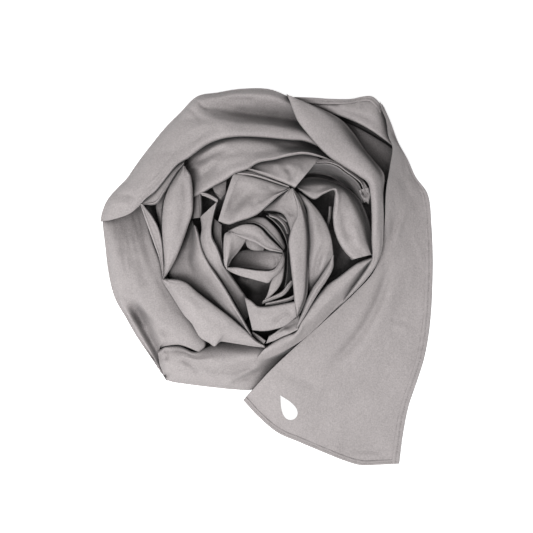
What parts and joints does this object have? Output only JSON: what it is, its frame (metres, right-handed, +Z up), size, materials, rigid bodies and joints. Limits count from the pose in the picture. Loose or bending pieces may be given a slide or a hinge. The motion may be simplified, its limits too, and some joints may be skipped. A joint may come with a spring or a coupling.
{
  "type": "quick dry towel",
  "caption": "Thin microfibre travel towel, loosely coiled into a rosette, with a hemmed free end swept round one side that lifts and bends.",
  "frame": {"origin": "middle of the coil, on the surface that it rests on", "axes": "+Z up, +X towards the hemmed long side, -Y towards the hemmed end"},
  "size_m": [0.4941, 0.566, 0.072],
  "materials": {
    "cloth": "satin microfibre weave",
    "hem": "turned and pressed cloth edge",
    "thread": "polyester sewing thread",
    "print": "white screen print"
  },
  "bodies": {
    "coil": {"outer_turn": "cloth", "over_fold": "cloth", "collar": "cloth", "collar_hem": "hem", "second_turn_upper": "cloth", "second_turn_lower": "cloth", "third_turn_left": "cloth", "third_turn_right": "cloth", "under_layer": "cloth", "tail_root": "cloth", "side_hem_root": "hem", "side_stitching_root": "thread"},
    "core": {"core_wrap": "cloth", "core_flap": "cloth"},
    "tail_middle": {"tail_middle": "cloth", "side_hem_middle": "hem", "side_stitching_middle": "thread"},
    "tail_end": {"tail_end": "cloth", "side_hem_end": "hem", "side_stitching_end": "thread", "end_hem": "hem", "end_stitching": "thread", "corner_mark": "print"}
  },
  "joints": [
    {"name": "core_draw", "type": "slide", "parent": "coil", "child": "core", "axis": [0, 0, 1], "range_m": [0, 0.03]},
    {"name": "tail_lift", "type": "hinge", "parent": "coil", "child": "tail_middle", "pos_m": [0.192, -0.1105, 0.0156], "axis": [-0.9219, 0.3422, 0.1816], "range_deg": [0, 75]},
    {"name": "tail_bend", "type": "hinge", "parent": "tail_middle", "child": "tail_end", "pos_m": [0.1515, -0.186, 0.0156], "axis": [-0.9269, 0.3531, 0.1275], "range_deg": [0, 90]}
  ]
}
